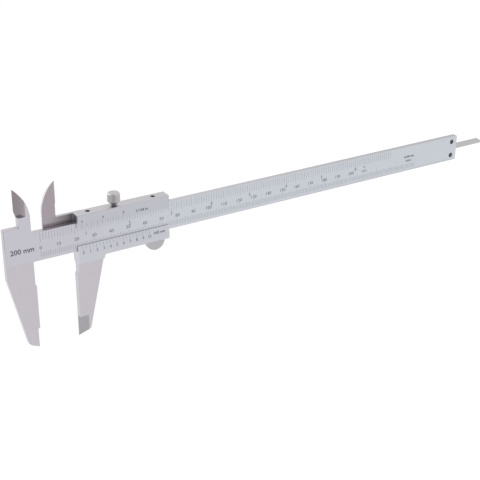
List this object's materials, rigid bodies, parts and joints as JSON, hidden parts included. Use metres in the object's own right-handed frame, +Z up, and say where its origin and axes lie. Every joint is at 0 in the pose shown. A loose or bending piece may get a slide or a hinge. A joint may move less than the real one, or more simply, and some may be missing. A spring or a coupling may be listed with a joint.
{
  "type": "vernier caliper",
  "caption": "Vernier caliper with outside jaws, crossed inside jaws, a locking slider on a graduated beam and a depth rod, for measuring lengths up to 200 mm.",
  "frame": {"origin": "centre of the fixed outside jaw's flat measuring face, at the middle of the jaw's thickness", "axes": "+X along the beam in the opening direction, normal to the measuring face; +Y from the graduated front to the back; +Z up across the beam, towards the inside jaws"},
  "size_m": [0.3272, 0.0073, 0.0916],
  "materials": {
    "satin_chromed_beam": "satin chrome plate on the graduated faces, ground on the jaws",
    "satin_chromed_slider": "satin chrome plate on the slider, ground on the jaws",
    "stop_steel": "satin",
    "black_oxide_steel": "matt black oxide",
    "gib_bronze": "rolled strip",
    "lock_screw_chrome": "chromed, knurled",
    "thumb_rest_steel": "satin",
    "pin_steel": "turned",
    "rod_steel": "ground",
    "cover_steel": "satin",
    "scale_ink": "matt dark filling of the engraved scales"
  },
  "bodies": {
    "beam": {"main_beam": "satin_chromed_beam", "end_stop_plate": "stop_steel", "end_stop_screw_upper": "black_oxide_steel", "end_stop_screw_lower": "black_oxide_steel"},
    "slider": {"slider_body": "satin_chromed_slider", "gib_strip": "gib_bronze", "gib_screw_left": "black_oxide_steel", "gib_screw_right": "black_oxide_steel", "thumb_rest": "thumb_rest_steel", "thumb_rest_pin_left": "pin_steel", "thumb_rest_pin_right": "pin_steel", "depth_rod": "rod_steel", "depth_rod_cover": "cover_steel", "cover_screw_left": "pin_steel", "cover_screw_right": "pin_steel"},
    "lock": {"lock_screw": "lock_screw_chrome"}
  },
  "joints": [
    {"name": "slider_travel", "type": "slide", "parent": "beam", "child": "slider", "axis": [1, 0, 0], "range_m": [-0.0228, 0.1804]},
    {"name": "lock_screw_turn", "type": "hinge", "parent": "slider", "child": "lock", "pos_m": [0.0465, 0, 0.047], "axis": [0, 0, 1], "range_deg": [-20, 340]}
  ]
}
